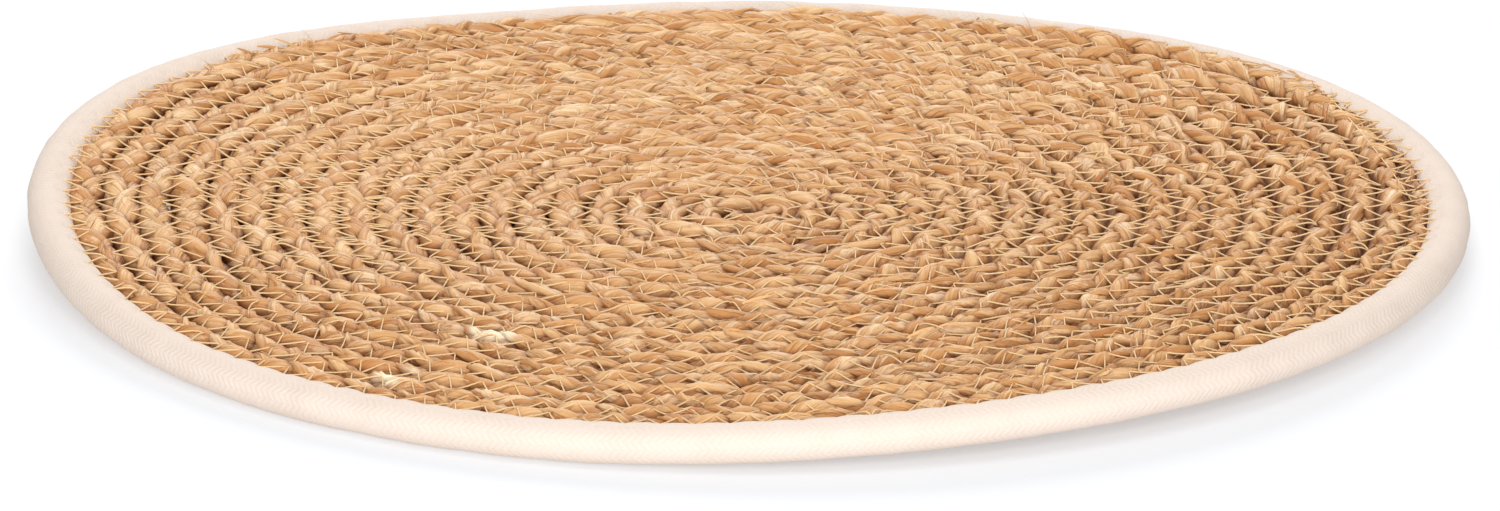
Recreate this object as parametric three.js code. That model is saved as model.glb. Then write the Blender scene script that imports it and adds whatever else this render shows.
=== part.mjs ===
// Round placemat: one long braid of dried grass, wound into a flat spiral whose turns are
// sewn to each other, and one thick cotton cord sewn round its rim.
// Millimetres, +Z up, the origin on the table under the middle of the mat.
// The turns of the braid stand up as rounded rows on both faces. The mat doesn't lie quite
// flat: its left and right sides lift a few millimetres off the table.
import * as THREE from "three";

// Driving sizes
const matDiameter = 380;
const cordWidth = 11.4;
const cordHeight = 10.2;
const sewnGap = 0.3; // between the rim of the coil and the cord
const coilThickness = 9;
const furrowTop = 2.2; // depth of the furrow between two rows, on the upper face
const furrowUnder = 1.5; // the same on the underside
const turns = 19.375; // of braid, from the middle to the rim
const braidEndAngle = THREE.MathUtils.degToRad(37.5);

// The braid ends in a taper, so that the rim comes out round. The rows inside it lie closer
// together on the way there, and the last row keeps nearly its full width up to the taper.
const taperTurns = 0.217;
const crowding = 0.7; // how far the seams move inwards before the taper, in rows
const crowdedTurns = 6;

// How the mat lies: height of its rim above the table, as waves round the rim
const rimLift = [
  { waves: 0, cosine: 3.53, sine: 0 },
  { waves: 1, cosine: -0.82, sine: -0.15 },
  { waves: 2, cosine: 3.31, sine: -2.32 },
  { waves: 3, cosine: -1.66, sine: 1.91 },
];
const restSoftness = 0.8; // how gently a lifted stretch leaves the table
const flatRadius = 45; // the middle of the mat lies flat out to here

// Steps of the meshes
const coilSteps = 48; // round one turn; the braid is a whole number of steps long
const cordSteps = 96;
const cordSides = 14;

// One row of the coil in cross-section: share of its width, and share of its height
const rowSection = [
  { across: 0, rise: 0 },
  { across: 0.28, rise: 1 },
  { across: 0.72, rise: 1 },
];

const matRadius = matDiameter / 2;
const coilRadius = matRadius - cordWidth - sewnGap;
const rowPitch = coilRadius / turns;
const braidSteps = turns * coilSteps;

// Height that the lie of the mat adds at a place on it
function liftAt(radius, angle) {
  let wave = 0;
  for (const { waves, cosine, sine } of rimLift) {
    wave += cosine * Math.cos(waves * angle) + sine * Math.sin(waves * angle);
  }
  const atRim = restSoftness * Math.log1p(Math.exp(wave / restSoftness));
  const outwards = Math.max(0, (radius - flatRadius) / (matRadius - flatRadius));
  return atRim * outwards ** 2;
}

// A point of the mat as it lies, from its place on a mat that is laid out flat
function layDown(radius, angle, height) {
  return [
    radius * Math.cos(angle),
    radius * Math.sin(angle),
    height + liftAt(radius, angle),
  ];
}

function angleAt(step) {
  return braidEndAngle + (2 * Math.PI * (step - braidSteps)) / coilSteps;
}

// Radius of the seam along the inner side of the braid
function seamRadius(step) {
  const turn = step / coilSteps;
  const turnsLeft = turns - turn;
  const share = (((step - braidSteps) % coilSteps) + coilSteps) % coilSteps / coilSteps;
  const taper = Math.min(1, (1 - share) / taperTurns);
  const inwards = taper < 1 ? taper * taper * (3 - 2 * taper) : share / (1 - taperTurns);
  const reach = Math.min(1, Math.max(0, 1 - (turnsLeft - 1) / crowdedTurns));
  return rowPitch * (turn - crowding * inwards * reach);
}

// The coil: each face is a grid of points that follows the braid, row beside row, and a wall
// round the rim joins the two faces
function coilGeometry() {
  const points = [];
  const triangles = [];
  const columns = rowSection.length;

  // A face gives the number of the point at a step along the braid and a column across it.
  // Two rows share the seam between them, and the braid begins and ends as a single point.
  function faceOf(heightFor) {
    const numbers = new Map();
    const numberOf = (place, radius, step, rise) => {
      if (!numbers.has(place)) {
        numbers.set(place, points.length);
        points.push(layDown(radius, angleAt(step), heightFor(rise)));
      }
      return numbers.get(place);
    };
    return function pointAt(step, column) {
      const nextRow = step + coilSteps;
      if (column === columns && nextRow < braidSteps) return pointAt(nextRow, 0);
      if (column === columns || step === braidSteps) {
        return numberOf(`rim ${nextRow % coilSteps}`, coilRadius, step, 0);
      }
      if (column === 0 && step <= 0) return numberOf("middle", 0, step, 0);
      const inner = step <= 0 ? 0 : seamRadius(step);
      const outer = nextRow < braidSteps ? seamRadius(nextRow) : coilRadius;
      const { across, rise } = rowSection[column];
      const fullness = Math.min(1, (outer - inner) / rowPitch);
      const radius = inner + across * (outer - inner);
      return numberOf(`${step} ${column}`, radius, step, rise * fullness);
    };
  }

  function addTriangle(a, b, c) {
    if (a !== b && b !== c && c !== a) triangles.push([a, b, c]);
  }

  function cover(pointAt, upwards) {
    for (let step = -coilSteps; step < braidSteps; step++) {
      for (let column = 0; column < columns; column++) {
        const a = pointAt(step, column);
        const b = pointAt(step, column + 1);
        const c = pointAt(step + 1, column + 1);
        const d = pointAt(step + 1, column);
        addTriangle(a, ...(upwards ? [b, c] : [c, b]));
        addTriangle(a, ...(upwards ? [c, d] : [d, c]));
      }
    }
  }

  const upper = faceOf((rise) => coilThickness - furrowTop * (1 - rise));
  const under = faceOf((rise) => furrowUnder * (1 - rise));
  cover(upper, true);
  cover(under, false);
  for (let step = braidSteps - coilSteps; step < braidSteps; step++) {
    const a = upper(step, columns);
    const b = upper(step + 1, columns);
    const c = under(step + 1, columns);
    const d = under(step, columns);
    addTriangle(a, d, c);
    addTriangle(a, c, b);
  }
  return geometryFrom(points, triangles);
}

// The cord: a flattened round, swept round the rim, with a flat edge below to rest on
function cordGeometry() {
  const points = [];
  const triangles = [];
  const sideAngle = (2 * Math.PI) / cordSides;
  const widest = Math.max(
    ...Array.from({ length: cordSides }, (_, side) => Math.sin((side + 0.5) * sideAngle)),
  );
  for (let step = 0; step < cordSteps; step++) {
    const angle = (2 * Math.PI * step) / cordSteps;
    for (let side = 0; side < cordSides; side++) {
      const turned = (side + 0.5) * sideAngle;
      const out = (Math.sin(turned) / widest) * (cordWidth / 2);
      const up = (1 - Math.cos(turned) / Math.cos(sideAngle / 2)) * (cordHeight / 2);
      points.push(layDown(matRadius - cordWidth / 2 + out, angle, up));
    }
  }
  for (let step = 0; step < cordSteps; step++) {
    const here = step * cordSides;
    const next = ((step + 1) % cordSteps) * cordSides;
    for (let side = 0; side < cordSides; side++) {
      const after = (side + 1) % cordSides;
      triangles.push([here + side, next + after, here + after]);
      triangles.push([here + side, next + side, next + after]);
    }
  }
  return geometryFrom(points, triangles);
}

function geometryFrom(points, triangles) {
  const geometry = new THREE.BufferGeometry();
  geometry.setAttribute("position", new THREE.Float32BufferAttribute(points.flat(), 3));
  geometry.setIndex(triangles.flat());
  geometry.computeVertexNormals();
  return geometry;
}

function braidCoil() {
  const driedGrass = new THREE.MeshStandardMaterial({
    color: 0xd2a36c,
    roughness: 0.75,
    metalness: 0,
  });
  const mesh = new THREE.Mesh(coilGeometry(), driedGrass);
  mesh.name = "braid_coil";
  return mesh;
}

function edgeCord() {
  const cotton = new THREE.MeshStandardMaterial({
    color: 0xf7ede2,
    roughness: 0.95,
    metalness: 0,
  });
  const mesh = new THREE.Mesh(cordGeometry(), cotton);
  mesh.name = "edge_cord";
  return mesh;
}

const placemat = new THREE.Group();
placemat.add(braidCoil(), edgeCord());

export default placemat;
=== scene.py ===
import math

import bpy
import numpy as np
from mathutils import Matrix, Vector


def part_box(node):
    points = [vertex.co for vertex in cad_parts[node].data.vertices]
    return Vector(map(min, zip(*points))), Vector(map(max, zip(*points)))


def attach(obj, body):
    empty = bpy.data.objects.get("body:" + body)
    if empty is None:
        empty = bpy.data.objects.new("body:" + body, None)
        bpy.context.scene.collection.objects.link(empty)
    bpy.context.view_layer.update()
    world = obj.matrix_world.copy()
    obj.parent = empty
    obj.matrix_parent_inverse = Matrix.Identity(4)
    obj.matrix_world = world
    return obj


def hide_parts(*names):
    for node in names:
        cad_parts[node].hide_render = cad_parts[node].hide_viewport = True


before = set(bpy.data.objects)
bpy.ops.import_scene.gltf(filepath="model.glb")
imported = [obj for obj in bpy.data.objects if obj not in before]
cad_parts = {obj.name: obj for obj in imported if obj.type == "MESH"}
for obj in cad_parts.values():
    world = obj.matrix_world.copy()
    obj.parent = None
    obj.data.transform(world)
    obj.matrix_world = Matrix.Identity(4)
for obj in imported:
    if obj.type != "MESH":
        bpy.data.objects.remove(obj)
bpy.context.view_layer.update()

mm = 0.001
print("frame loaded")


# Node trees, written as sums of sockets

class Socket:
    def __init__(self, graph, output):
        self.graph = graph
        self.output = output
        self.isVector = output.type == "VECTOR"

    def of(self, operation, *others):  # any operation of the Math or Vector Math node
        return self.graph.combine(operation, self, *others)

    def other(self, name):  # another output of the same node
        return Socket(self.graph, pick(self.output.node.outputs, name))

    def __add__(self, term):
        return self.graph.combine("ADD", self, term)

    def __radd__(self, term):
        return self.graph.combine("ADD", term, self)

    def __sub__(self, term):
        return self.graph.combine("SUBTRACT", self, term)

    def __rsub__(self, term):
        return self.graph.combine("SUBTRACT", term, self)

    def __mul__(self, term):
        return self.graph.combine("MULTIPLY", self, term)

    def __rmul__(self, term):
        return self.graph.combine("MULTIPLY", term, self)

    def __truediv__(self, term):
        return self.graph.combine("DIVIDE", self, term)

    def __rtruediv__(self, term):
        return self.graph.combine("DIVIDE", term, self)

    def __pow__(self, term):
        return self.graph.combine("POWER", self, term)


def isVector(term):
    return isinstance(term, (tuple, Vector)) or getattr(term, "isVector", False)


def pick(sockets, name):  # by its number, identifier or name
    if isinstance(name, int):
        return sockets[name]
    return next(s for s in sockets if name in (s.identifier, s.name))


class Graph:
    def __init__(self, tree):
        self.tree = tree

    def node(self, kind, settings=None, sockets=None, give=0):
        made = self.tree.nodes.new(kind)
        for name, value in (settings or {}).items():
            setattr(made, name, value)
        for name, value in (sockets or {}).items():
            socket = pick(made.inputs, name)
            if isinstance(value, Socket):
                self.tree.links.new(value.output, socket)
            else:
                socket.default_value = value
        return Socket(self, pick(made.outputs, give))

    def combine(self, operation, *terms):
        vectors = [isVector(t) for t in terms]
        if not any(vectors):
            return self.node("ShaderNodeMath", {"operation": operation}, dict(enumerate(terms)))
        if operation == "MULTIPLY" and not all(vectors):
            vector, scale = terms if vectors[0] else terms[::-1]
            sockets = {0: vector, "Scale": scale}
            return self.node("ShaderNodeVectorMath", {"operation": "SCALE"}, sockets)
        give = 1 if operation in ("LENGTH", "DISTANCE") else 0
        settings = {"operation": operation}
        return self.node("ShaderNodeVectorMath", settings, dict(enumerate(terms)), give)

    def vector(self, x, y, z):
        return self.node("ShaderNodeCombineXYZ", {}, {"X": x, "Y": y, "Z": z})

    def parts(self, vector):
        x = self.node("ShaderNodeSeparateXYZ", {}, {0: vector})
        return x, x.other("Y"), x.other("Z")

    def noise(self, place, scale=1.0, detail=2.0, roughness=0.5):
        line = not isVector(place)
        settings = {"noise_dimensions": "1D" if line else "3D"}
        sockets = {"W" if line else "Vector": place, "Scale": scale, "Detail": detail}
        return self.node("ShaderNodeTexNoise", settings, {**sockets, "Roughness": roughness})

    def cells(self, place, feature, give):  # of a pattern of cells, one of its measures
        sockets = {"Vector": place, "Scale": 1.0}
        return self.node("ShaderNodeTexVoronoi", {"feature": feature}, sockets, give)

    def cellEdge(self, place):  # distance to the nearest edge of a cell
        return self.cells(place, "DISTANCE_TO_EDGE", "Distance")

    def step(self, value, low, high):  # smooth step from 0 at low to 1 at high
        sockets = {"Value": value, "From Min": low, "From Max": high}
        return self.node("ShaderNodeMapRange", {"interpolation_type": "SMOOTHSTEP"}, sockets)

    def wave(self, phase):  # between 0 and 1
        return phase.of("SINE") * 0.5 + 0.5


class ShaderGraph(Graph):
    def attribute(self, name, give="Vector"):
        return self.node("ShaderNodeAttribute", {"attribute_name": name}, {}, give)

    def objectPlace(self):  # in mm
        return self.node("ShaderNodeTexCoord", {}, {}, "Object") * (1 / mm)

    def blend(self, factor, first, second):  # of two colours
        sockets = {"Factor_Float": factor, "A_Color": first, "B_Color": second}
        return self.node("ShaderNodeMix", {"data_type": "RGBA"}, sockets, "Result_Color")

    def bump(self, height, strength, depth):
        return self.node("ShaderNodeBump", {}, {"Strength": strength, "Distance": depth, "Height": height})


def rgb(red, green, blue):  # a colour as seen on screen, 0 to 255, for a node
    def linear(value):
        share = value / 255
        return share / 12.92 if share <= 0.04045 else ((share + 0.055) / 1.055) ** 2.4
    return (linear(red), linear(green), linear(blue), 1.0)


# Geometry Nodes: a tree with named inputs, run on a line of points and made a plain mesh

socketKinds = {
    float: "NodeSocketFloat",
    int: "NodeSocketInt",
    bpy.types.Material: "NodeSocketMaterial",
    bpy.types.Object: "NodeSocketObject",
}


def treeInputs(piece):  # the values of a piece that its tree takes, which are written with a capital
    return {name: value for name, value in piece.items() if name[0].isupper()}


class GeometryGraph(Graph):
    def __init__(self, name, inputs):
        super().__init__(bpy.data.node_groups.new(name, "GeometryNodeTree"))
        face = self.tree.interface
        face.new_socket("Geometry", in_out="INPUT", socket_type="NodeSocketGeometry")
        face.new_socket("Geometry", in_out="OUTPUT", socket_type="NodeSocketGeometry")
        for label, value in inputs.items():
            made = face.new_socket(label, in_out="INPUT", socket_type=socketKinds[type(value)])
            made.default_value = value
        start = self.tree.nodes.new("NodeGroupInput")
        self.given = {s.name: Socket(self, s) for s in start.outputs if s.name}

    def stored(self, name, kind="FLOAT"):
        return self.node("GeometryNodeInputNamedAttribute", {"data_type": kind}, {"Name": name})

    def store(self, geometry, name, value, kind="FLOAT"):
        sockets = {"Geometry": geometry, "Name": name, "Value": value}
        return self.node("GeometryNodeStoreNamedAttribute", {"data_type": kind}, sockets)

    def move(self, geometry, **sockets):
        return self.node("GeometryNodeSetPosition", {}, {"Geometry": geometry, **sockets})

    def position(self):
        return self.node("GeometryNodeInputPosition")

    def normal(self):
        return self.node("GeometryNodeInputNormal")

    def meshOf(self, piece):
        return self.node("GeometryNodeObjectInfo", {}, {"Object": piece}, "Geometry")

    def curveOf(self, mesh):
        return self.node("GeometryNodeMeshToCurve", {}, {"Mesh": mesh})

    def upright(self, curve):  # so that a section doesn't roll on its way
        return self.node("GeometryNodeSetCurveNormal", {"mode": "Z_UP"}, {"Curve": curve})

    def ring(self, sides, radius=1.0):
        return self.node("GeometryNodeCurvePrimitiveCircle", {}, {"Resolution": sides, "Radius": radius})

    def sweep(self, curve, profile, scale=1.0):
        sockets = {"Curve": curve, "Profile Curve": profile, "Scale": scale, "Fill Caps": True}
        return self.node("GeometryNodeCurveToMesh", {}, sockets)

    def blurred(self, value, times, weight=1.0):
        sockets = {"Value": value, "Iterations": times, "Weight": weight}
        return self.node("GeometryNodeBlurAttribute", {}, sockets)

    def rayHit(self, ground, start, direction, length):
        sockets = {"Target Geometry": ground, "Source Position": start,
                   "Ray Direction": direction, "Ray Length": length}
        return self.node("GeometryNodeRaycast", {}, sockets)

    def finishWith(self, geometry):
        whole = self.node("GeometryNodeRealizeInstances", {}, {"Geometry": geometry})
        sockets = {"Geometry": whole, "Material": self.given["Finish"]}
        dressed = self.node("GeometryNodeSetMaterial", {}, sockets)
        end = self.tree.nodes.new("NodeGroupOutput")
        self.tree.links.new(dressed.output, end.inputs[0])


def place(data, name):  # an object of the data, in the scene
    made = bpy.data.objects.new(name, data)
    bpy.context.scene.collection.objects.link(made)
    return made


def lineMesh(name, points, closed=False, **attributes):  # points joined by edges, with numbers on them
    count = len(points)
    edges = [(i, i + 1) for i in range(count - 1)]
    if closed:
        edges.append((count - 1, 0))
    mesh = bpy.data.meshes.new(name)
    mesh.from_pydata(np.asarray(points).tolist(), edges, [])
    for label, values in attributes.items():
        layer = mesh.attributes.new(label, "FLOAT", "POINT")
        layer.data.foreach_set("value", np.asarray(values, np.float32))
    return place(mesh, name)


def grow(name, line, graph, values):  # runs the tree on the line; the result is a plain mesh
    modifier = line.modifiers.new(name, "NODES")
    modifier.node_group = graph.tree
    for item in graph.tree.interface.items_tree:
        if item.item_type == "SOCKET" and item.in_out == "INPUT" and item.name in values:
            modifier[item.identifier] = values[item.name]
    view = bpy.context.evaluated_depsgraph_get()
    mesh = bpy.data.meshes.new_from_object(line.evaluated_get(view))
    mesh.name = name
    bpy.data.objects.remove(line)
    mesh.shade_smooth()
    print(f"{name}: {sum(len(p.vertices) - 2 for p in mesh.polygons)} triangles")
    return place(mesh, name)


# The mat: where its rows run and how it lies

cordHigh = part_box("edge_cord")[1]
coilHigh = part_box("braid_coil")[1]
mat = {
    "radius": cordHigh.x,
    "coilRadius": coilHigh.x,
    "sewnGap": 0.3 * mm,  # between the braid and the cord
    "turns": 19.375,
    "endAngle": math.radians(37.5),
    "taperTurns": 0.217,
    "crowding": 0.7,  # how far the seams move inwards before the taper, in rows
    "crowdedTurns": 6,
    "flatRadius": 45 * mm,
    "restSoftness": 0.8 * mm,
    "middleHeight": 4.6 * mm,  # of the braid
    "liftWaves": [  # round the rim: their number, and the height of cosine and sine
        (0, 3.53 * mm, 0),
        (1, -0.82 * mm, -0.15 * mm),
        (2, 3.31 * mm, -2.32 * mm),
        (3, -1.66 * mm, 1.91 * mm),
    ],
    "fineSteps": 40000,  # of a spiral, to measure along it
}
mat["pitch"] = mat["coilRadius"] / mat["turns"]


def liftAt(radius, angle):
    wave = sum(c * np.cos(n * angle) + s * np.sin(n * angle) for n, c, s in mat["liftWaves"])
    soft = mat["restSoftness"]
    outwards = np.maximum(0, (radius - mat["flatRadius"]) / (mat["radius"] - mat["flatRadius"]))
    return soft * np.log1p(np.exp(wave / soft)) * outwards ** 2


def onMat(radius, angle, height):
    z = height + liftAt(radius, angle)
    return np.stack([radius * np.cos(angle), radius * np.sin(angle), z], -1)


def angleAt(turn):
    return mat["endAngle"] + 2 * np.pi * (turn - mat["turns"])


def seamRadius(turn):  # of the seam along the inner side of the braid
    left = mat["turns"] - turn
    share = np.mod(-left, 1.0)
    taper = np.minimum(1, (1 - share) / mat["taperTurns"])
    inwards = np.where(taper < 1, taper ** 2 * (3 - 2 * taper), share / (1 - mat["taperTurns"]))
    reach = np.clip(1 - (left - 1) / mat["crowdedTurns"], 0, 1)
    radius = mat["pitch"] * (turn - mat["crowding"] * inwards * reach)
    return np.where(turn <= 0, 0, np.minimum(radius, mat["coilRadius"]))


def rowAt(turn):  # middle radius and width of the braid
    inner = seamRadius(turn)
    outer = np.where(turn + 1 < mat["turns"], seamRadius(turn + 1), mat["coilRadius"])
    return (inner + outer) / 2, outer - inner


def evenTurns(radiusOf, first, last, spacing, closeness=None):  # turns at even distances along a spiral
    turn = np.linspace(first, last, mat["fineSteps"])
    path = onMat(radiusOf(turn), angleAt(turn), 0)
    steps = np.linalg.norm(np.diff(path, axis=0), axis=1)
    if closeness:
        steps = steps * closeness(path[1:, 0], path[1:, 1])
    along = np.concatenate([[0], np.cumsum(steps)])
    count = round(along[-1] / spacing)
    places = np.linspace(0, along[-1], count + 1)
    return np.interp(places, along, turn), places


def nearEnd(turn, before, over):  # from 0, so many turns before the braid ends, to 1, so many turns on
    return np.clip((turn - mat["turns"] + before) / over, 0, 1)


def bell(angle, middle, spread):  # 1 at an angle round the mat, and falling to both sides of it
    around = np.mod(angle - middle + math.pi, math.tau) - math.pi
    return np.exp(-(around / spread) ** 2)


# Finishes

def material(name, finish):  # finish gives the sockets of the surface
    made = bpy.data.materials.new(name)
    made.use_nodes = True
    made.node_tree.nodes.clear()
    graph = ShaderGraph(made.node_tree)
    shader = graph.node("ShaderNodeBsdfPrincipled", {}, finish(graph))
    end = made.node_tree.nodes.new("ShaderNodeOutputMaterial")
    made.node_tree.links.new(shader.output, end.inputs["Surface"])
    return made


leaf = {
    "straw": rgb(231, 191, 140),
    "tan": rgb(206, 152, 98),
    # Rust tone of some leaves, veins and specks, and also painted shade where the leaf lies near the
    # middle of the braid
    "rustAndShade": rgb(172, 104, 48),
    "pale": rgb(240, 217, 180),
    "bleached": rgb(252, 238, 206),
    # crease: the colour of painted shade, in the creases between leaves, between the lobes and in crevices
    "crease": rgb(94, 48, 22),
    "leafSize": (2.8, 2.8, 55),  # mm, of one leaf in a strand: across it, through it and along it
    # Each pattern: how many to a mm in the same directions, its detail and its roughness
    "veins": ((1 / 0.36, 1 / 0.36, 1 / 16), 2.0, 0.5),
    "ribs": ((1 / 0.8, 1 / 0.8, 1 / 26), 1.0, 0.5),
    "stains": ((0.16, 0.16, 0.045), 4.0, 0.62),
    "specks": ((0.9, 0.9, 0.5), 3.0, 0.7),
    "crinkles": ((0.8, 0.8, 0.22), 3.0, 0.65),
    "ownRipeness": 0.6,  # how much the tone of a leaf comes from itself, and how much from the stains
    "stainRipeness": 1.9,
    "unripe": 0.75,
    "leafCreaseShade": 0.4,  # how much more painted shade some leaves get at their creases
    "speckDepth": 1.5,  # mm, how far specks blur the edge of the painted shade where the leaf lies low
    # Each mark: where it starts to show, where it is full, and how strong it is
    "ripe": (0.1, 0.9, 1.0),
    "rusted": (0.8, 0.95, 0.55),
    "flecked": (0.82, 1.0, 0.6),
    "betweenVeins": (0.68, 0.32, 1.0),
    "ribbed": (0.5, 0.3, 1.0),
    # Painted shade along the creases between the leaves, and how much of it shows
    "creased": (0.045, 0.004, 1.0),
    "creaseShadeStrength": (0.45, 0.85, 0.5),
    "speckled": (0.66, 0.74, 0.4),
    "spotted": (1.3, 0.8, 0.9),
    "low": (4.4, 2.2, 0.3),  # mm up or down from the middle of the braid: painted shade, in rust, where the leaf lies near that middle, between the lobes
    # Deeper painted shade, in the crease colour, nearer still to the middle of the braid
    "inside": (3.6, 0.9, 0.88),
    "frayed": (6.5, 7.5, 0.6),
    "shutIn": (0.22, 0.85, 0.9),  # painted shade, by the share of the ways out that other leaves close
    "veinTone": 0.2,
    "ribTone": 0.3,
    # The least painted shade along a crease between leaves
    "creaseTone": 0.1,
    "paleSpots": [((-64, -106, 9), 9), ((-89, -141, 10), 9)],  # mm, where a light leaf shows, and its size
    "spotUnevenness": 0.8,
    "edgeWidth": 0.2,  # of a leaf, over which it rises from a crease
    "edgeRelief": 0.6,  # shares of the relief
    "veinRelief": 0.2,
    "ribRelief": 0.3,
    "crinkleRelief": 1.4,
    "bumpStrength": 0.6,
    "bumpDepth": 0.35 * mm,
    "roughness": 0.62,
    "veinShine": 0.12,
    "gloss": 0.1,
}


def leafCell(leafPlace):  # the same for the finish and for the shape, so that the creases agree
    return leafPlace * tuple(1 / side for side in leaf["leafSize"])


def leafFinishSockets(graph):
    def shown(value, mark):  # a mark that fades as the value rises has its higher limit first
        start, full, strength = leaf[mark]
        rising = graph.step(value, min(start, full), max(start, full))
        return (rising if start < full else 1 - rising) * strength

    leafPlace = graph.attribute("leafPlace")
    cell = leafCell(leafPlace)
    edge = graph.cellEdge(cell)
    first, second, third = graph.parts(graph.cells(cell, "F1", "Color"))
    patterns = (leaf[name] for name in ("veins", "ribs", "stains", "specks", "crinkles"))
    vein, rib, stain, speck, crinkle = (
        graph.noise(leafPlace * scale, 1.0, detail, roughness) for scale, detail, roughness in patterns)
    ripeness = first * leaf["ownRipeness"] + stain * leaf["stainRipeness"] - leaf["unripe"]
    outer = graph.attribute("outerness", "Fac") + (speck - 0.5) * leaf["speckDepth"]
    furrow = shown(vein, "betweenVeins")
    ribbed = shown(rib, "ribbed")
    # How much painted shade a crease gets, varying with noise and from leaf to leaf
    creaseShadeNoise = (1 - stain) + second * leaf["leafCreaseShade"]
    inCrease = shown(creaseShadeNoise, "creaseShadeStrength") + leaf["creaseTone"]
    marks = [
        (shown(ripeness, "ripe"), "straw"),
        (shown(second + stain - 0.5, "rusted"), "rustAndShade"),
        (shown(third + speck - 0.5, "flecked"), "pale"),
        (furrow * leaf["veinTone"], "rustAndShade"),
        (ribbed * leaf["ribTone"], "rustAndShade"),
        # Painted shade along the creases between the leaves
        (shown(edge, "creased") * inCrease, "crease"),
        (shown(speck, "speckled"), "rustAndShade"),
    ]
    for spot, size in leaf["paleSpots"]:
        apart = graph.objectPlace().of("DISTANCE", spot) / size
        marks.append((shown(apart + third * leaf["spotUnevenness"], "spotted"), "bleached"))
    # Painted shade where the leaf lies near the middle of the braid, and where other leaves shut it in
    marks += [
        (shown(outer, "low"), "rustAndShade"),
        (shown(outer, "inside"), "crease"),
        # Painted shade where the leaves around shut a place in
        (shown(graph.attribute("crevice", "Fac"), "shutIn"), "crease"),
        (shown(outer, "frayed"), "straw"),
    ]
    colour = leaf["tan"]
    for share, tone in marks:
        colour = graph.blend(share, colour, leaf[tone])
    streak = 1 - furrow
    rounded = graph.step(edge, 0.0, leaf["edgeWidth"]) * leaf["edgeRelief"]
    fine = streak * leaf["veinRelief"] - ribbed * leaf["ribRelief"]
    height = rounded + fine + crinkle * leaf["crinkleRelief"]
    return {"Base Color": colour, "Roughness": leaf["roughness"] - streak * leaf["veinShine"],
            "Normal": graph.bump(height, leaf["bumpStrength"], leaf["bumpDepth"]),
            "Specular IOR Level": leaf["gloss"]}


leafFinish = material("driedLeaf", leafFinishSockets)

thread = {
    "cream": rgb(236, 204, 154),
    "shaded": rgb(206, 160, 108),
    "shadedShare": 0.45,
    "plies": 2.0,
    "plyLength": 1.5,  # mm, for one ply to go round
    "bumpStrength": 0.6,
    "bumpDepth": 0.1 * mm,
    "roughness": 0.65,
    "gloss": 0.3,
}


def threadFinishSockets(graph):
    x, y, along = graph.parts(graph.attribute("threadPlace"))
    turned = y.of("ARCTAN2", x) * thread["plies"] + along * (math.tau / thread["plyLength"])
    ply = graph.wave(turned)
    colour = graph.blend((1 - ply) * thread["shadedShare"], thread["cream"], thread["shaded"])
    bump = graph.bump(ply, thread["bumpStrength"], thread["bumpDepth"])
    return {"Base Color": colour, "Roughness": thread["roughness"], "Normal": bump,
            "Specular IOR Level": thread["gloss"]}


threadFinish = material("sewingThread", threadFinishSockets)

cotton = {
    "white": rgb(225, 209, 196),
    # shaded: painted shade of the grooves between the yarns, and the darker tone of random patches and
    # fuzz
    "shaded": rgb(205, 188, 171),
    "carriers": 16,  # columns of the braid round the cord
    "plaits": 610,  # yarns in one column, all the way round the mat
    "columnSeam": (0.4, 0.5),  # of a column, from its middle to its side
    "yarnRelief": 0.35,  # in the middle of a column; it is full at the sides
    "fuzz": (2.2, 4.0, 0.7),  # how many to a mm, detail and roughness
    "patches": (0.09, 2.0, 0.5),
    "reliefShade": 0.2,
    "patchTone": 0.6,
    "fuzzTone": 0.4,
    "darkest": 0.8,
    "bumpStrength": 0.3,
    "bumpDepth": 0.3 * mm,
    "roughness": 0.92,
    "gloss": 0.2,
}


def cottonFinishSockets(graph):
    point = graph.objectPlace()
    matX, matY, _ = graph.parts(point)
    along = matY.of("ARCTAN2", matX) * (cotton["plaits"] / math.tau)
    x, y, _ = graph.parts(graph.attribute("sectionPlace"))
    column = y.of("ARCTAN2", x) * (cotton["carriers"] / math.tau) + cotton["carriers"]
    across = column.of("PINGPONG", 1.0)  # there and back, so that the yarns lean both ways
    yarn = graph.wave((along + across) * math.tau)
    seam = 1 - graph.step((across - 0.5).of("ABSOLUTE"), *cotton["columnSeam"])
    relief = yarn * (cotton["yarnRelief"] + seam * (1 - cotton["yarnRelief"]))
    fuzz = graph.noise(point, *cotton["fuzz"])
    patch = graph.noise(point, *cotton["patches"])
    # Painted shade in the grooves between the yarns, with darker patches and fuzz at random
    shadeAndTone = (1 - relief) * cotton["reliefShade"] + (patch - 0.5) * cotton["patchTone"]
    shadeAndTone = graph.step(shadeAndTone + (fuzz - 0.5) * cotton["fuzzTone"], 0.0, cotton["darkest"])
    colour = graph.blend(shadeAndTone, cotton["white"], cotton["shaded"])
    bump = graph.bump(relief + fuzz, cotton["bumpStrength"], cotton["bumpDepth"])
    return {"Base Color": colour, "Roughness": cotton["roughness"], "Normal": bump,
            "Specular IOR Level": cotton["gloss"]}


cordFinish = material("cottonCord", cottonFinishSockets)
print("finishes ready")


# The braid: three strands of grass leaves, plaited and wound into the coil

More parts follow.
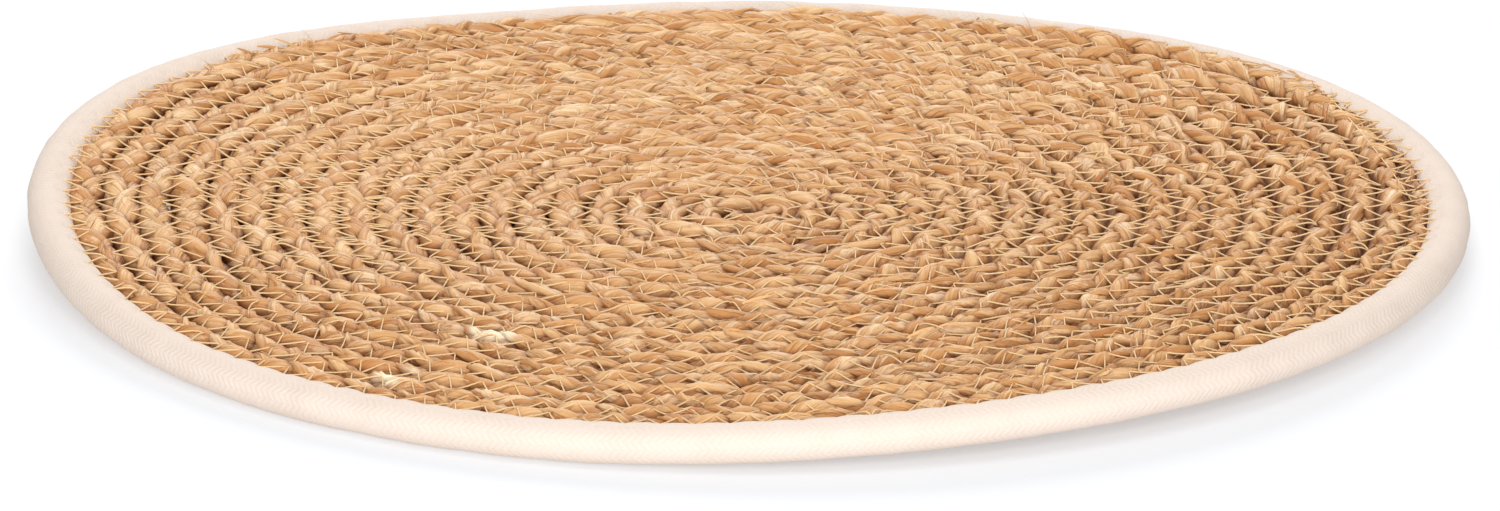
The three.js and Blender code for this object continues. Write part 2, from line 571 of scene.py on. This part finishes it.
braid = {
    "start": -0.55,  # turns
    "endGap": 0.01,
    "spacing": 2.0 * mm,
    "endTaper": 8 * mm,
    "endThickness": 0.05,
    "Lobe Length": 44.5 * mm,  # along the braid, for a strand to come back to its side
    "Sway": 2.5 * mm,
    "Rise": 1.3 * mm,
    "Peak": 0.2,  # how far in from its edge the braid stands highest
    "crestSteps": 200,  # to find that height
    "Leaf Width": 7.3 * mm,
    "Leaf Thickness": 4.9 * mm,
    "Unevenness": 0.85 * mm,
    "Crease Depth": 0.8 * mm,
    "Twist Length": 170 * mm,
    "Sides": 17,
    "Floor Gap": 4.0 * mm,  # from the middle of the braid to its flat underside
    "flatTop": 3.3 * mm,  # over the middle of the braid, above which the leaves are pressed flat
    "topGive": 0.6,  # how much of what stands above that is left
    # How a strand wanders along the braid, as shares of a lobe's length
    "wander": 0.9,
    "wanderScale": 0.45,  # how many times in a lobe's length
    "wanderStart": 3.7,
    # How each lobe differs from the next: in its sway, its fullness and its roll
    "lobeScale": 1.3,  # how many times in a lobe's length
    "seedStep": 17.3,  # so that the strands differ
    "swayChange": 1.1,
    "fullnessChange": 0.8,
    "rollChange": 1.2,
    "rollSwing": math.radians(92),
    "rollRest": math.radians(90),
    "underRise": 0.7,  # on the underside, as a share of the upper one's
    "narrowRise": 0.35,  # where the braid is narrow
    "narrowFullness": 0.55,
    "leastPlumpness": 0.93,
    "crestPlumpness": 0.1,
    "squareness": 4.0,  # the bundle is pressed flat on all four sides
    "leafShift": 0.311,  # m, so that no strand shows the leaves of another
    "lumps": (0.3, 0.3, 0.07),  # how many to a mm
    "creaseWidth": 0.22,  # of a leaf
    "creaseSink": 0.7,
    "domeReach": 1.15,  # half rows
    "domePower": 2.6,
    # The last turns: how many turns before the end a change starts, and over how many it grows
    "rimTurns": (1.1, 0.2),
    "pushTurns": (5, 4),
    "backTurns": (7, 6),
    "growthPower": 1.3,
    "rimPush": 1.0 * mm,  # outwards and up against the cord
    "rimLift": 0.4 * mm,
    "backWidth": 1.3,
    "backLift": 1.7 * mm,
    "backPush": 0.4 * mm,
    "fullAngle": math.radians(43),  # where the end of the braid crowds over the cord
    "fullSpread": math.radians(20),
    "fullLift": 1.0 * mm,
    "fullPush": 1.6 * mm,
    # Round the mat: the rows stand out most at the front right and are calm and closed at the back
    "frontAngle": math.radians(-50),
    "backAngle": math.radians(15),  # the back starts here, and ends half a turn on
    "closedAngle": math.radians(100),
    "closedShare": 0.4,  # of the closing, at the sides
    "closedWidening": 0.1,
    "relief": 0.95,  # of the lobes, and how it changes
    "frontRelief": 0.6,
    "backRelief": 0.2,
    "dome": 0.15,  # of the rows: the fall of their height at the seams
    "rimDome": 0.1,
    "frontDome": 0.45,
    "backDome": 0.15,
    "frontTop": 0.4,
    "backCalm": 0.7,  # the calmer, the less painted shade on the leaf between the rows
    "closedCalm": 0.15,
    "frontCalm": 0.22,
}


def strandGraph():
    inputs = {**treeInputs(braid), "Phase": 0.0, "Seed": 1.0, "Finish": leafFinish}
    graph = GeometryGraph("plaitedStrand", inputs)
    given = graph.given
    along, share, ends, relief = (graph.stored(n) for n in ("along", "share", "ends", "relief"))
    position = graph.position()
    outward = (position * (1.0, 1.0, 0.0)).of("NORMALIZE")
    lobes = along / given["Lobe Length"]
    wander = graph.noise(lobes + braid["wanderStart"], braid["wanderScale"], 1.0) - 0.5
    phase = (lobes + wander * braid["wander"]) * math.tau + given["Phase"]
    own = graph.noise(lobes + given["Seed"] * braid["seedStep"], braid["lobeScale"], 1.0) - 0.5
    swing, facing = phase.of("SINE"), phase.of("COSINE")
    sway = swing * given["Sway"] * share * (1.0 + own * braid["swayChange"])

    # The crest of each lobe, 1 at its highest, on the upper side and on the underside in turn
    quarter = np.linspace(0, math.pi / 2, braid["crestSteps"])
    highest = float(np.max(np.sin(quarter) * np.cos(quarter) ** (1 + braid["Peak"])))
    crest = swing * facing * facing.of("ABSOLUTE") ** given["Peak"] * (-1 / highest)
    rise = crest.of("MAXIMUM", 0.0) * relief + crest.of("MINIMUM", 0.0) * braid["underRise"]
    rise = rise * given["Rise"] * (braid["narrowRise"] + share * (1 - braid["narrowRise"]))
    curve = graph.curveOf(given["Geometry"])
    shifted = graph.upright(graph.move(curve, Offset=outward * sway + graph.vector(0.0, 0.0, rise)))
    roll = facing * braid["rollSwing"] + braid["rollRest"] + own * braid["rollChange"]
    tilted = graph.node("GeometryNodeSetCurveTilt", {}, {"Curve": shifted, "Tilt": roll})
    tilted = graph.store(tilted, "lay", graph.node("GeometryNodeInputTangent"), "FLOAT_VECTOR")

    # The section: a leaf bundle, wider than thick, its place kept for the finish
    x, y, z = graph.parts(position)
    power = braid["squareness"]
    squarer = (x ** power + y ** power) ** (-1 / power)
    wide, thick = given["Leaf Width"], given["Leaf Thickness"]
    section = graph.vector(x * squarer * wide / 2.0, y * squarer * thick / 2.0, 0.0)
    profile = graph.store(graph.ring(given["Sides"]), "sectionPlace", section, "FLOAT_VECTOR")
    profile = graph.move(profile, Position=section)
    plump = crest.of("ABSOLUTE") * braid["crestPlumpness"] + braid["leastPlumpness"]
    narrow = braid["narrowFullness"] + share * (1 - braid["narrowFullness"])
    fullness = ends * narrow * (1.0 + own * braid["fullnessChange"]) * plump
    tube = graph.sweep(tilted, profile, fullness)
    sockets = {"Vector": graph.stored("sectionPlace", "FLOAT_VECTOR"),
               "Angle": along / given["Twist Length"] * math.tau}
    twisted = graph.node("ShaderNodeVectorRotate", {"rotation_type": "Z_AXIS"}, sockets)
    started = along + given["Seed"] * braid["leafShift"]
    leafPlace = (twisted + graph.vector(0.0, 0.0, started)) * (1 / mm)
    tube = graph.store(tube, "leafPlace", leafPlace, "FLOAT_VECTOR")
    edge = graph.cellEdge(leafCell(leafPlace))
    lumps = graph.noise(leafPlace * braid["lumps"], 1.0, 1.0) - 0.5
    depth = given["Crease Depth"]
    raised = graph.step(edge, 0.0, braid["creaseWidth"]) * depth + lumps * given["Unevenness"] * 2.0
    tube = graph.move(tube, Offset=graph.normal() * (raised - depth * braid["creaseSink"]))

    # The rows are domed: their height falls towards the seams, and their tops are pressed flat
    level = graph.stored("level")
    fromMiddle = (position * (1.0, 1.0, 0.0)).of("LENGTH") - graph.stored("rowRadius")
    sideways = (fromMiddle / (mat["pitch"] / 2)).of("ABSOLUTE").of("MINIMUM", braid["domeReach"])
    above = (z - level) * (1 - graph.stored("dome") * sideways ** braid["domePower"])
    flatTop = graph.stored("flatTop")
    pressed = above.of("MINIMUM", flatTop) + (above - flatTop).of("MAXIMUM", 0.0) * braid["topGive"]
    final = level + pressed.of("MAXIMUM", given["Floor Gap"] * -1.0)
    tube = graph.move(tube, Position=graph.vector(x, y, final))
    height = (z - level).of("ABSOLUTE") * (1 / mm) * (1 + graph.stored("calm"))
    tube = graph.store(tube, "outerness", height)  # mm, up or down from the middle of the braid; the leaf finish paints shade where it is small
    graph.finishWith(tube)
    return graph


def braidLine():
    last = mat["turns"] - braid["endGap"]
    turn, along = evenTurns(lambda t: rowAt(t)[0], braid["start"], last, braid["spacing"])
    radius, width = rowAt(turn)
    angle = angleAt(turn)
    toEnd = np.minimum(along, along[-1] - along)
    ends = np.clip(toEnd / braid["endTaper"], braid["endThickness"], 1) ** 0.5

    pushed = nearEnd(turn, *braid["pushTurns"])
    backwards = np.clip(np.sin(angle) * braid["backWidth"], 0, 1)
    backwards = backwards * nearEnd(turn, *braid["backTurns"]) ** braid["growthPower"]
    fuller = bell(angle, braid["fullAngle"], braid["fullSpread"]) * pushed ** braid["growthPower"]
    lift = nearEnd(turn, *braid["rimTurns"]) * braid["rimLift"]
    lift = lift + backwards * braid["backLift"] + fuller * braid["fullLift"]
    rowRadius = radius + pushed * braid["rimPush"] + backwards * braid["backPush"]
    rowRadius = rowRadius + fuller * braid["fullPush"]
    points = onMat(rowRadius, angle, mat["middleHeight"] + lift)

    outwards = np.clip(radius / mat["coilRadius"], 0, 1)
    towards = 0.5 + 0.5 * np.cos(angle - braid["frontAngle"])
    atFront = outwards * towards
    atBack = np.clip(np.sin(angle - braid["backAngle"]), 0, 1) * outwards
    closed = braid["closedShare"] + (1 - braid["closedShare"]) * np.cos(angle - braid["closedAngle"])
    closed = np.clip(closed, 0, 1) * outwards
    dome = braid["dome"] + outwards * (braid["rimDome"] + braid["frontDome"] * towards)
    calm = atBack * braid["backCalm"] + closed * braid["closedCalm"]
    numbers = {
        "along": along,
        "ends": ends,
        "level": points[:, 2],
        "rowRadius": rowRadius,
        "share": width / mat["pitch"] * (1 + braid["closedWidening"] * closed),
        "relief": braid["relief"] + braid["frontRelief"] * atFront - braid["backRelief"] * atBack,
        "dome": dome - braid["backDome"] * atBack,
        "flatTop": braid["flatTop"] * (1 + braid["frontTop"] * atFront),
        "calm": calm - braid["frontCalm"] * outwards * towards ** 3,
    }
    return lineMesh("braidLine", points, **numbers)


strandTree = strandGraph()
strands = []
for number in range(3):
    values = {"Phase": number * math.tau / 3, "Seed": number + 1.0}
    strands.append(grow(f"braid_strand_{number + 1}", braidLine(), strandTree, values))

# The cord round the rim

cord = {
    "Width": cordHigh.x - mat["coilRadius"] - mat["sewnGap"],
    "Height": 10.2 * mm,
    "Unevenness": 0.7 * mm,
    "Stitches": 132,
    "Stitch Place": 3.0 * mm,  # inwards of the cord's middle
    "Dimple": 0.9 * mm,
    "Dimple Width": 2.2 * mm,
    "Sides": 36,
    "lumpScale": 0.09,
    "spacing": 1.4 * mm,
}


def cordGraph():
    graph = GeometryGraph("roundCord", {**treeInputs(cord), "Finish": cordFinish})
    given = graph.given
    position = graph.position()
    x, y, _ = graph.parts(position)
    section = graph.vector(x * given["Width"] / 2.0, y * given["Height"] / 2.0, 0.0)
    profile = graph.store(graph.ring(given["Sides"]), "sectionPlace", section, "FLOAT_VECTOR")
    profile = graph.move(profile, Position=section)
    tube = graph.sweep(graph.upright(graph.curveOf(given["Geometry"])), profile)

    # A stitch pulls a dimple into the cord, bell-shaped and only on the upper side
    share = (y.of("ARCTAN2", x) * given["Stitches"] / math.tau).of("FRACT") - 0.5
    along = share * (math.tau * mat["radius"]) / given["Stitches"]
    outwards, down, _ = graph.parts(graph.stored("sectionPlace", "FLOAT_VECTOR"))
    apart = graph.vector(along, outwards + given["Stitch Place"], 0.0).of("LENGTH") / given["Dimple Width"]
    dimple = (apart * apart * -2.0).of("EXPONENT") * down.of("LESS_THAN", 0.0)
    lumps = graph.noise(position * (1 / mm), cord["lumpScale"], 2.0) - 0.5
    raised = lumps * given["Unevenness"] - dimple * given["Dimple"]
    graph.finishWith(graph.move(tube, Offset=graph.normal() * raised))
    return graph


def cordLine():
    middle = mat["radius"] - cord["Width"] / 2
    count = round(math.tau * middle / cord["spacing"])
    angle = np.arange(count) * math.tau / count
    points = onMat(np.full(count, middle), angle, cord["Height"] / 2)
    return lineMesh("cordLine", points, closed=True)


edgeCord = grow("cotton_cord", cordLine(), cordGraph(), {})

# The sewing: a zigzag along every seam, on both faces

sewing = {
    "firstTurn": 0.7,
    "endGap": 0.02,  # turns
    "advance": 4.65 * mm,  # of one leg
    "reach": 3.25 * mm,  # to each side of the seam
    "reachChange": (0.85, 1.1),
    "cordReach": 2.7 * mm,  # onto the cord
    "cordReachChange": (0.8, 1.1),
    "fullReach": 2.6 * mm,  # more of it where the braid ends
    "fullSpread": math.radians(32),
    "frontReach": 2.7 * mm,  # and more of it at the front
    "skew": 0.5,  # mm along the seam, of a needle hole
    "cordSkew": 0.5,  # of it, on the cord
    "tightRadius": 10 * mm,  # within which a skew doesn't turn further
    "Thread": 0.48 * mm,
    "Sides": 4,
    "Cuts": 7,
    "Sink": 0.5 * mm,
    "bedding": 0.45,  # of the thread's thickness, that stands over what it lies on
    "rayLength": 60 * mm,
    "tightening": (12, 12, 12),  # rounds of smoothing, each time before it is lifted onto what it crosses
    "lastSmoothing": 3,
    "looseShare": 0.06,
    "slack": (0.5, 2.2),  # mm, of a loose leg
    "backBury": 0.4 * mm,  # how much deeper the thread lies in the leaf at the back
    # Where the stitches lie closer
    "closeX": -103 * mm,
    "closeY": 6 * mm,
    "closeSize": 38 * mm,
    "closeOval": 0.7,  # the width of that place as a share of its depth
    "closer": 0.7,  # there are so many more, as a share
}


def zigzagGraph():
    inputs = {**treeInputs(sewing), "Up": 1.0, "Finish": threadFinish, "Ground": strands[0]}
    graph = GeometryGraph("zigzag", inputs)
    given = graph.given
    sockets = {"Curve": graph.curveOf(given["Geometry"]), "Cuts": given["Cuts"]}
    curve = graph.node("GeometryNodeSubdivideCurve", {}, sockets)
    position = graph.position()
    upward = graph.vector(0.0, 0.0, given["Up"])
    start = position + upward * (sewing["rayLength"] / 2)
    hit = graph.rayHit(graph.meshOf(given["Ground"]), start, upward * -1.0, sewing["rayLength"])
    height = graph.parts(hit.other("Hit Position"))[2] * given["Up"]
    index = graph.node("GeometryNodeInputIndex")
    share = (index / (given["Cuts"] + 1.0)).of("FRACT")
    nearlyHalf = 0.499
    free = (share - 0.5).of("ABSOLUTE").of("LESS_THAN", nearlyHalf)  # 0 where the needle went in
    curve = graph.store(curve, "free", free)
    curve = graph.store(curve, "height", height - (1 - free) * given["Sink"])
    free, height = graph.stored("free"), graph.stored("height")
    taut = height
    for times in sewing["tightening"]:
        taut = graph.blurred(taut, times, free).of("MAXIMUM", height)
    taut = graph.blurred(taut, sewing["lastSmoothing"], free)
    arch = share * (1 - share) * 4.0 * graph.stored("slack") - graph.stored("bury")
    final = taut + given["Thread"] * sewing["bedding"] + arch
    x, y, _ = graph.parts(position)
    curve = graph.move(curve, Position=graph.vector(x, y, final * given["Up"]))
    length = graph.node("GeometryNodeSplineParameter", {}, {}, "Length")
    curve = graph.store(curve, "length", length)
    ring = graph.ring(given["Sides"], given["Thread"] / 2.0)
    tube = graph.sweep(curve, graph.store(ring, "sectionPlace", position, "FLOAT_VECTOR"))
    section = graph.stored("sectionPlace", "FLOAT_VECTOR")
    threadPlace = (section + graph.vector(0.0, 0.0, graph.stored("length"))) * (1 / mm)
    graph.finishWith(graph.store(tube, "threadPlace", threadPlace, "FLOAT_VECTOR"))
    return graph


def zigzagLine(seed, looseness=1.0):
    random = np.random.default_rng(seed)

    def closeness(x, y):
        apart = np.hypot(x - sewing["closeX"], (y - sewing["closeY"]) * sewing["closeOval"])
        return 1 + sewing["closer"] * np.exp(-(apart / sewing["closeSize"]) ** 4)

    last = mat["turns"] - sewing["endGap"]
    turn, _ = evenTurns(seamRadius, sewing["firstTurn"], last, sewing["advance"], closeness)
    rimHole = np.arange(2 * cord["Stitches"] + 3)  # on to the cord, once round
    radius = np.concatenate([seamRadius(turn), np.full(len(rimHole), mat["coilRadius"])])
    angle = np.concatenate([angleAt(turn), rimHole * math.pi / cord["Stitches"]])
    count = len(radius)
    onCord = np.arange(count) >= len(turn)
    sideways = np.where(np.arange(count) % 2 == 0, 1, -1) * sewing["reach"]
    sideways = sideways * random.uniform(*sewing["reachChange"], count)
    skew = random.uniform(-sewing["skew"], sewing["skew"], count) * mm
    skew = skew / np.maximum(radius, sewing["tightRadius"])
    skew[onCord] = skew[onCord] * sewing["cordSkew"]
    sideways[onCord] = np.where(rimHole % 2 == 1, sewing["cordReach"], -sewing["reach"])
    change = random.uniform(*sewing["cordReachChange"], count)
    sideways[onCord] = sideways[onCord] * change[onCord]
    further = bell(angle, braid["fullAngle"], sewing["fullSpread"]) * sewing["fullReach"]
    further = further + np.clip(-np.sin(angle), 0, 1) * sewing["frontReach"]
    sideways = sideways + further * onCord * (sideways > 0)
    points = onMat(radius + sideways, angle + skew, mat["middleHeight"])
    loose = random.random(count) < sewing["looseShare"]
    slack = np.where(loose, random.uniform(*sewing["slack"], count), 0) * looseness * mm
    outwards = np.clip(radius / mat["coilRadius"], 0, 1)
    bury = np.clip(np.sin(angle), 0, 1) ** 2 * outwards * sewing["backBury"]
    return lineMesh("zigzagLine", points, slack=slack, bury=bury)


def joined(name, pieces):  # one mesh of several, to lay the thread on
    vertices, faces = [], []
    for piece in pieces:
        first = len(vertices)
        vertices += [v.co[:] for v in piece.data.vertices]
        faces += [[first + i for i in p.vertices] for p in piece.data.polygons]
    mesh = bpy.data.meshes.new(name)
    mesh.from_pydata(vertices, [], faces)
    return place(mesh, name)


crevice = {
    "Reach": 5 * mm,
    "liftOff": 0.12 * mm,  # of a ray, from the leaf that it starts on
    "asides": [  # how far each ray leans from straight out of the leaf
        (0, 0, 0.4), (1, 0, 0), (-1, 0, 0), (0, 1, 0), (0, -1, 0), (0.7, 0.7, 0.7), (-0.7, -0.7, 0.7),
    ],
    "smoothing": 1,  # rounds
}


def creviceGraph():  # how far each place of a strand is shut in by the leaves beside it, 0 to 1, for the painted shade of the leaf finish
    inputs = {**treeInputs(crevice), "Finish": leafFinish, "Ground": strands[0]}
    graph = GeometryGraph("crevices", inputs)
    given = graph.given
    ground = graph.meshOf(given["Ground"])
    normal = graph.normal()
    start = graph.position() + normal * crevice["liftOff"]
    total = 0.0
    for aside in crevice["asides"]:
        hit = graph.rayHit(ground, start, (normal + aside).of("NORMALIZE"), given["Reach"])
        total = hit * (1 / len(crevice["asides"])) + total
    graph.finishWith(graph.store(given["Geometry"], "crevice", graph.blurred(total, crevice["smoothing"])))
    return graph


ground = joined("ground", [*strands, edgeCord])
creviceTree = creviceGraph()
strands = [grow(s.name, s, creviceTree, {"Ground": ground}) for s in strands]
sewingTree = zigzagGraph()
topSewing = grow("sewing_top", zigzagLine(1), sewingTree, {"Ground": ground})
underSide = {"Ground": ground, "Up": -1.0, "Cuts": 3}
underSewing = grow("sewing_under", zigzagLine(2, 0.0), sewingTree, underSide)
bpy.data.objects.remove(ground)

# Frayed leaf: shreds that lie on the strands, and fine fibres that stand off them

fray = {
    "shreds": {"Density": 5200.0, "Length": 11 * mm, "Width": 1.3 * mm, "Thickness": 0.22 * mm,
               "Curl": 0.9 * mm, "Root": 0.5, "Stray": 0.22, "Tip": 0.1, "Pieces": 6},
    "fibres": {"Density": 15000.0, "Length": 9 * mm, "Width": 0.22 * mm, "Thickness": 0.16 * mm,
               "Curl": 0.9 * mm, "Root": 0.25, "Stray": 0.55, "Tip": 0.12, "Pieces": 5},
    "ends": [  # angle in degrees, radius and height in mm, lie in degrees from the row, size
        (34.0, 182.5, 13.3, 8, 1.7), (35.4, 183.2, 13.6, -14, 1.5), (32.6, 182.9, 13.4, 22, 1.4),
        (33.2, 184.2, 13.4, -24, 1.3), (36.8, 182.3, 13.3, 4, 1.5), (31.4, 182.2, 13.1, 16, 1.2),
        (38.1, 182.6, 13.2, -10, 1.2), (35.0, 185.0, 13.2, 35, 1.0), (40.0, 182.0, 13.1, 12, 1.1),
    ],
    "roll": 0.3,  # radians, to each side
    "sizes": [(0.5, 1.5), (0.5, 1.5), (0.5, 1.3)],  # least and most, in length, width and curl
    "pointedness": 0.85,
    "toneShift": 900.0,  # mm, so that each is another leaf
    "steepest": 0.2,  # of the ground, as the upward part of its normal
    "lowest": 2.2,  # mm over the middle of the braid
    "outerness": 9.0,  # higher than any strand, so that the finish knows frayed leaf
}


def blades(graph, points, kind, seed, rotation, bigger=1.0):  # one small bent leaf on each point
    size = fray[kind]
    half = size["Length"] / 2
    root = half * (1 - 2 * size["Root"])
    line = graph.node("GeometryNodeCurvePrimitiveLine", {}, {"Start": (-half, 0, 0), "End": (half, 0, 0)})
    line = graph.node("GeometryNodeResampleCurve", {}, {"Curve": line, "Count": size["Pieces"]})
    x, y, z = graph.parts(graph.position())
    line = graph.store(line, "bladeAlong", x / half)
    line = graph.move(line, Offset=graph.vector(root, 0.0, (x / half) ** 2.0 * -size["Curl"]))
    flat = graph.vector(x * size["Thickness"] / 2, y * size["Width"] / 2, 0.0)
    along = graph.stored("bladeAlong")
    taper = (1 - along * along * fray["pointedness"]).of("SQRT")
    blade = graph.sweep(line, graph.move(graph.ring(3), Position=flat), taper)
    blade = graph.store(blade, "bladePlace", graph.vector(y, z, x) * (1 / mm), "FLOAT_VECTOR")

    def random(low, high, number):
        sockets = {"Min_001": low, "Max_001": high, "Seed": seed * 10 + number}
        return graph.node("FunctionNodeRandomValue", {"data_type": "FLOAT"}, sockets, "Value_001")

    limits = (fray["roll"], size["Tip"], size["Stray"])
    stray = graph.vector(*(random(-limit, limit, 1 + i) for i, limit in enumerate(limits)))
    turned = graph.node("FunctionNodeRotateRotation", {"rotation_space": "LOCAL"},
                        {"Rotation": rotation, "Rotate By": stray})
    scale = graph.vector(*(random(low, high, 4 + i) for i, (low, high) in enumerate(fray["sizes"])))
    points = graph.store(points, "toneShift", random(0.0, fray["toneShift"], 7))
    sockets = {"Points": points, "Instance": blade, "Rotation": turned, "Scale": scale * bigger}
    return graph.node("GeometryNodeInstanceOnPoints", {}, sockets)


def frayGraph():
    objects = {f"Strand {n + 1}": strands[n] for n in range(3)}
    densities = {"Shred Density": fray["shreds"]["Density"], "Fibre Density": fray["fibres"]["Density"]}
    graph = GeometryGraph("frayedLeaf", {**objects, **densities, "Finish": leafFinish})
    given = graph.given

    def join(parts):
        whole = graph.node("GeometryNodeJoinGeometry")
        for part in parts:
            graph.tree.links.new(part.output, whole.output.node.inputs[0])
        return whole

    def aligned(normal):
        upright = graph.node("FunctionNodeAlignRotationToVector", {"axis": "Z"}, {"Vector": normal})
        sockets = {"Rotation": upright, "Vector": graph.stored("lay", "FLOAT_VECTOR")}
        return graph.node("FunctionNodeAlignRotationToVector", {"axis": "X", "pivot_axis": "Z"}, sockets)

    ground = join([graph.meshOf(given[name]) for name in objects])
    upwards = graph.parts(graph.normal())[2]
    high = graph.stored("outerness").of("GREATER_THAN", fray["lowest"])
    top = upwards.of("GREATER_THAN", fray["steepest"]) * high
    made = []
    for kind, density, seed in (("shreds", "Shred Density", 1), ("fibres", "Fibre Density", 2)):
        sockets = {"Mesh": ground, "Density": given[density] * top, "Seed": seed}
        points = graph.node("GeometryNodeDistributePointsOnFaces", {}, sockets)
        made.append(blades(graph, points, kind, seed, aligned(points.other("Normal"))))
    placed = graph.node("GeometryNodeMeshToPoints", {}, {"Mesh": given["Geometry"]})
    made.append(blades(graph, placed, "shreds", 3, aligned((0.0, 0.0, 1.0)), graph.stored("bigger")))
    loose = graph.node("GeometryNodeRealizeInstances", {}, {"Geometry": join(made)})
    tone = graph.stored("bladePlace", "FLOAT_VECTOR") + graph.vector(0.0, 0.0, graph.stored("toneShift"))
    loose = graph.store(loose, "leafPlace", tone, "FLOAT_VECTOR")
    graph.finishWith(graph.store(loose, "outerness", fray["outerness"]))
    return graph


def frayLine():  # the leaf ends, listed one by one, at the end of the braid
    angle, radius, height, lie, size = (np.array(c, float) for c in zip(*fray["ends"]))
    angle = np.radians(angle)
    points = np.stack([radius * np.cos(angle), radius * np.sin(angle), height], -1) * mm
    lay = angle + math.pi / 2 + np.radians(lie)
    line = lineMesh("frayLine", points, bigger=size)
    layer = line.data.attributes.new("lay", "FLOAT_VECTOR", "POINT")
    layer.data.foreach_set("vector", np.stack([np.cos(lay), np.sin(lay), lay * 0], -1).ravel())
    return line


frayedLeaf = grow("frayed_leaf", frayLine(), frayGraph(), {})
frayedLeaf.data.shade_flat()

# What rides, and what it stands for

for piece in [*strands, frayedLeaf, topSewing, underSewing, edgeCord]:
    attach(piece, "root")
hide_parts("braid_coil")
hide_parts("edge_cord")

# Floor, light and camera

studio = {
    "floorSize": 12.0,
    "floorColour": rgb(182, 184, 188),
    "floorRoughness": 0.9,
    "floorGlow": 0.45,  # of the light table, the same all over
    "white": (1, 1, 1, 1),
    "skyStrength": 0.47,
    "lamps": [  # place, size and power
        ((0.0, -2.6, 1.0), 1.5, 60.0),
        ((0.0, -0.9, 1.9), 1.2, 8.0),
        ((0.0, 2.2, 1.3), 1.5, 50.0),
    ],
}


def paperSockets(graph):
    return {"Base Color": studio["floorColour"], "Roughness": studio["floorRoughness"],
            "Specular IOR Level": 0.0, "Emission Color": studio["white"],
            "Emission Strength": studio["floorGlow"]}


def makeFloor():
    half = studio["floorSize"] / 2
    corners = [(-half, -half, 0), (half, -half, 0), (half, half, 0), (-half, half, 0)]
    mesh = bpy.data.meshes.new("floor")
    mesh.from_pydata(corners, [], [(0, 1, 2, 3)])
    mesh.materials.append(material("floorPaper", paperSockets))
    floor = place(mesh, "floor")


def makeLight():
    world = bpy.data.worlds.new("studioAir")
    world.use_nodes = True
    background = world.node_tree.nodes["Background"]
    background.inputs["Color"].default_value = studio["white"]
    background.inputs["Strength"].default_value = studio["skyStrength"]
    bpy.context.scene.world = world
    for spot, size, power in studio["lamps"]:
        lamp = bpy.data.lights.new("softbox", "AREA")
        lamp.shape = "DISK"
        lamp.size = size
        lamp.energy = power
        holder = place(lamp, "softbox")
        holder.location = spot
        holder.rotation_euler = (-Vector(spot)).to_track_quat("-Z", "Y").to_euler()


eye = {
    "back": 2302.3 * mm,
    "height": 748.97 * mm,
    "pitch": 0.3164565,  # radians below the horizon
    "yaw": 0.00014,
    "roll": 0.00374,
    "focal": 9154.4,  # in pixels of the photo's width of 1500
    "pictureWidth": 1500,
    "sensorWidth": 36,
    "farthest": 50,
}


def makeCamera():
    pitch, yaw, roll = eye["pitch"], eye["yaw"], eye["roll"]
    ahead = Vector((math.sin(yaw) * math.cos(pitch), math.cos(yaw) * math.cos(pitch), -math.sin(pitch)))
    level = Vector((math.cos(yaw), -math.sin(yaw), 0))
    upright = level.cross(ahead)
    across = math.cos(roll) * level + math.sin(roll) * upright
    up = math.cos(roll) * upright - math.sin(roll) * level
    data = bpy.data.cameras.new("camera")
    data.sensor_width = eye["sensorWidth"]
    data.lens = eye["focal"] / eye["pictureWidth"] * data.sensor_width
    data.clip_end = eye["farthest"]
    camera = place(data, "camera")
    turned = Matrix((across, up, -ahead)).transposed().to_4x4()
    camera.matrix_world = Matrix.Translation((0, -eye["back"], eye["height"])) @ turned
    bpy.context.scene.camera = camera


makeFloor()
makeLight()
makeCamera()
bpy.context.scene.view_settings.view_transform = "Standard"
print("studio ready")
